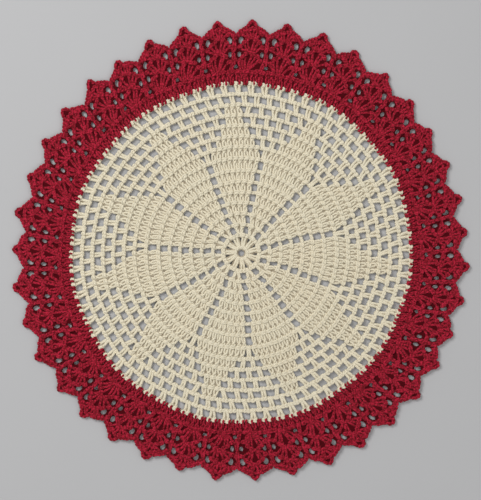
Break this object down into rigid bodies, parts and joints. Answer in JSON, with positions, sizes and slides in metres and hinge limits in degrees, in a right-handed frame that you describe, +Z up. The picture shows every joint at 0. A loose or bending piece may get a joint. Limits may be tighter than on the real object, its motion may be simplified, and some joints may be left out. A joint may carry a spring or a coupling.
{
  "type": "crochet placemat",
  "caption": "Round flat crochet placemat: cream centre with close petals, ladders of gaps and an open net, and a red scalloped border with raised ribs and knobbed tips.",
  "frame": {"origin": "on the underside, at the middle of the mat's box", "axes": "+Z up out of the table, +Y towards the top of the picture, +X to its right"},
  "size_m": [0.3792, 0.3808, 0.0043],
  "materials": {
    "cream_yarn": "matt cotton yarn, plied",
    "red_yarn": "matt cotton yarn, plied"
  },
  "bodies": {
    "root": {"cream_centre": "cream_yarn", "red_border": "red_yarn"}
  },
  "joints": []
}
